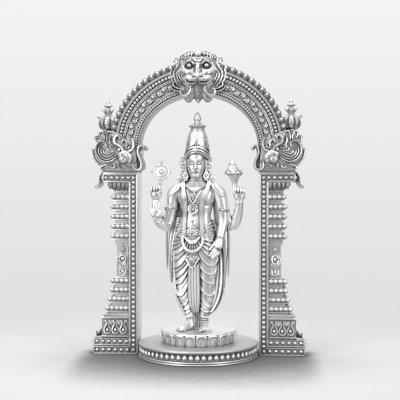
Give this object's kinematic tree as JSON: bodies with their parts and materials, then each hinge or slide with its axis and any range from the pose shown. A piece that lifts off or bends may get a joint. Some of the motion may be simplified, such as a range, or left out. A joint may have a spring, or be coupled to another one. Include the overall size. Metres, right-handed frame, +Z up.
{
  "type": "vishnu figure",
  "caption": "Cast metal standing Vishnu on a lotus pedestal and round plinth, framed by beaded pilasters and a moulded arch with a lion mask.",
  "frame": {"origin": "on the floor, under the middle of the round plinth and of the whole part's outline", "axes": "+Z up along the part's height, +Y to the back, so the figure faces -Y, and +X to the viewer's right"},
  "size_m": [0.2168, 0.12, 0.3045],
  "materials": {
    "figure_metal": "silver-plated cast brass, brightly polished, with darkened recesses",
    "frame_metal": "silver-plated cast brass, satin polish, with darker recesses than the figure"
  },
  "bodies": {
    "root": {"base_disc": "frame_metal", "lotus_pedestal": "figure_metal", "figure": "figure_metal", "pillar_left": "frame_metal", "pillar_right": "frame_metal", "arch": "frame_metal"}
  },
  "joints": []
}
